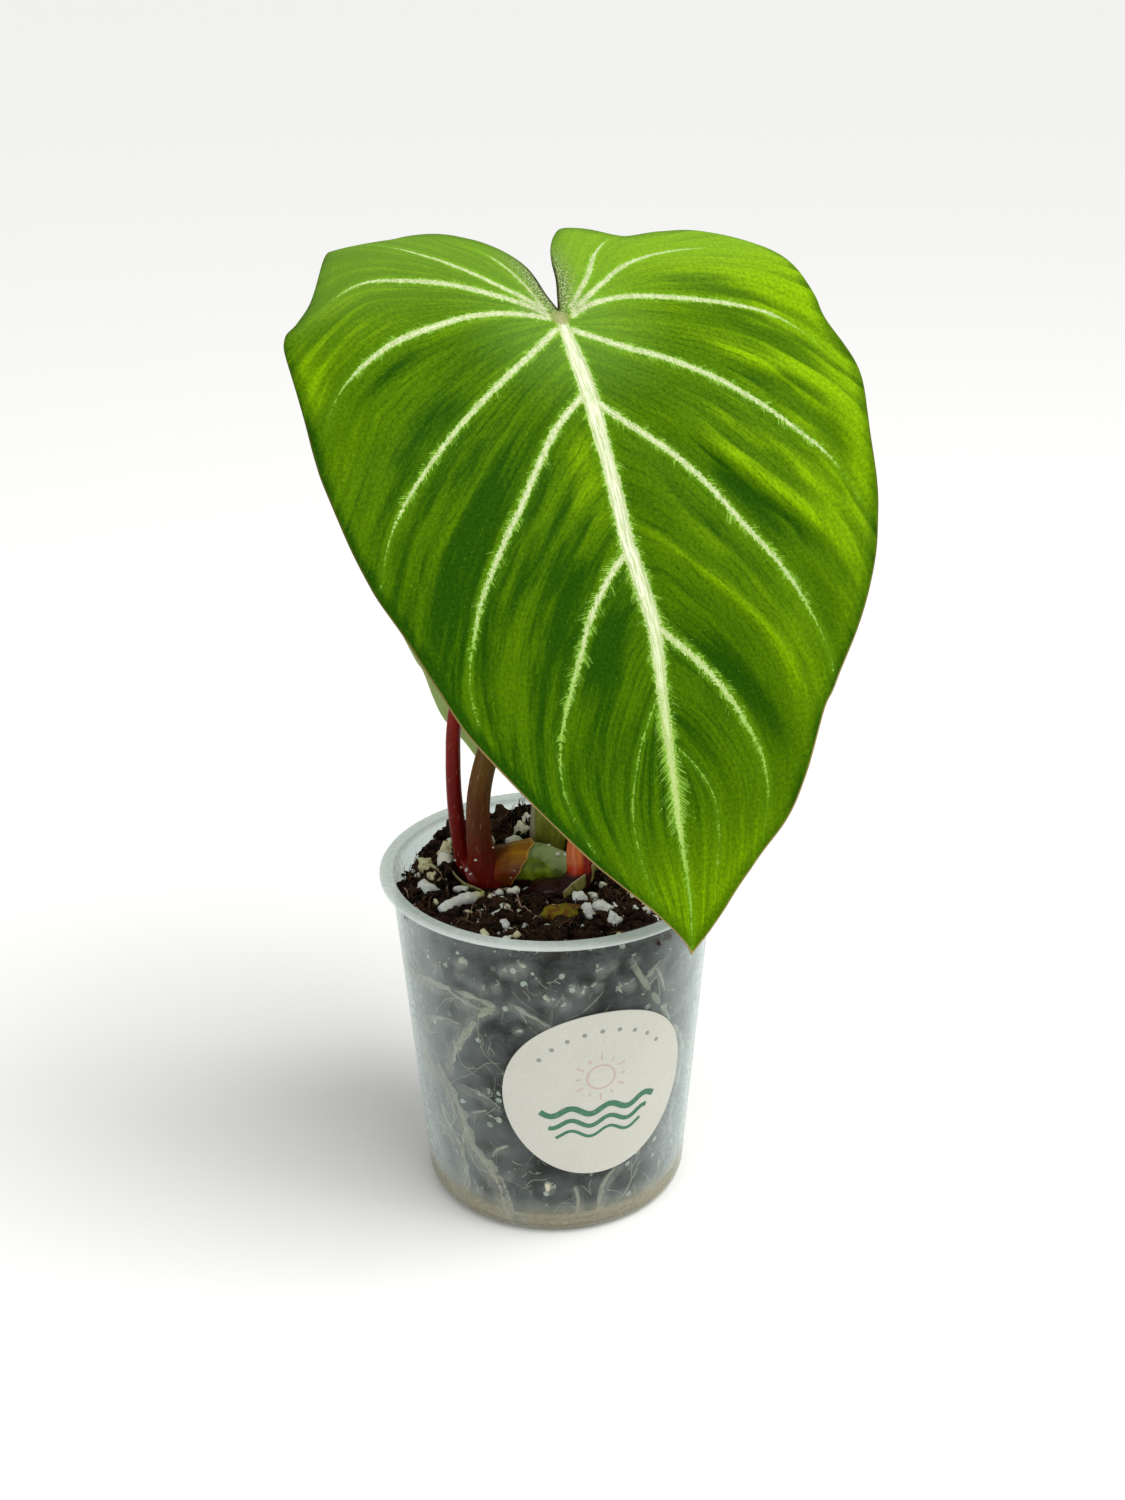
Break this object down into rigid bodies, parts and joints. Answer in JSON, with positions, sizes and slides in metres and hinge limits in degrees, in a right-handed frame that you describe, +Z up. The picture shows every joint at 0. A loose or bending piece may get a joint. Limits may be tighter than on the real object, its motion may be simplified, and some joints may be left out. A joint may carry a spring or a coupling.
{
  "type": "potted philodendron gloriosum",
  "caption": "Young creeping aroid with an upright heart-shaped, pale-veined leaf and a smaller one behind, rooted in a clear tapered nursery pot.",
  "frame": {"origin": "centre of the pot's foot, on the surface that it stands on", "axes": "+Z up, -Y towards the front, where the large leaf faces, +X to the right seen from the front"},
  "size_m": [0.1395, 0.1139, 0.2457],
  "materials": {
    "pot": "clear milky polypropylene",
    "label": "matt coated paper",
    "soil": "damp peat and bark with white perlite",
    "roots": "pale fleshy roots",
    "rhizome": "waxy green stem, dark red at its joints",
    "sheath": "papery amber sheath",
    "stalk_large": "waxy brown-green stalk",
    "stalk_small": "waxy dark red stalk",
    "new_shoot": "waxy orange-red bud",
    "old_stub": "olive, drying stalk base",
    "leaf_large": "velvety green with cream veins, pale beneath",
    "leaf_small": "velvety green with cream veins, pale beneath"
  },
  "bodies": {
    "root": {"pot": "pot", "label": "label", "soil": "soil", "roots": "roots", "rhizome": "rhizome", "sheath": "sheath", "stalk_large": "stalk_large", "stalk_small": "stalk_small", "new_shoot": "new_shoot", "old_stub": "old_stub", "leaf_large": "leaf_large", "leaf_small": "leaf_small"}
  },
  "joints": []
}
